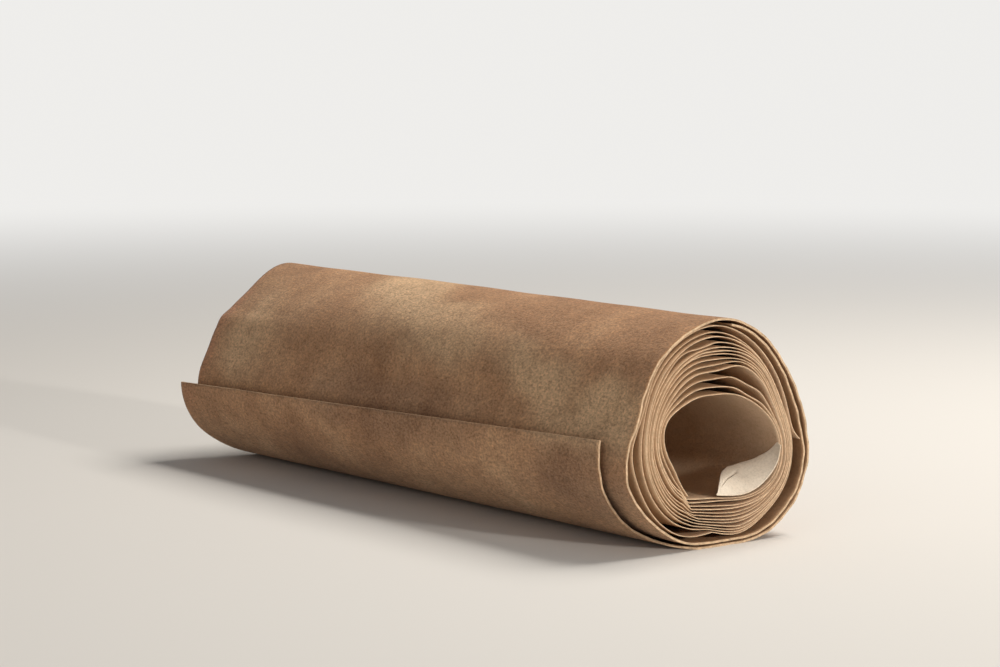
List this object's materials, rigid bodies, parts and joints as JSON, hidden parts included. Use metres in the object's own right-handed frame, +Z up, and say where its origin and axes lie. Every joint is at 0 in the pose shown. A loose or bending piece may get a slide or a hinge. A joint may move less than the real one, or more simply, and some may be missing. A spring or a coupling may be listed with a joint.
{
  "type": "paper scroll",
  "caption": "Old rolled paper scroll lying on its side: a long thin sheet wound into a loose roll inside a thick soft cover sheet with a standing free edge.",
  "frame": {"origin": "on the ground under the middle of the roll's length, below the roll's axis, at the flat spot it lies on", "axes": "+X along the roll towards its open mouth, +Z up; the cover's free edge is on the -Y side"},
  "size_m": [0.2165, 0.0708, 0.0628],
  "materials": {
    "cover_paper": "thick, soft, fibrous brown paper with a felt-like face, worn paler in patches, with bare cut edges",
    "inner_paper": "thin smooth tan paper, darker toward its edges, with a faint dark brown printed border on its inner face"
  },
  "bodies": {
    "root": {"cover_sheet": "cover_paper", "inner_sheet": "inner_paper"}
  },
  "joints": []
}
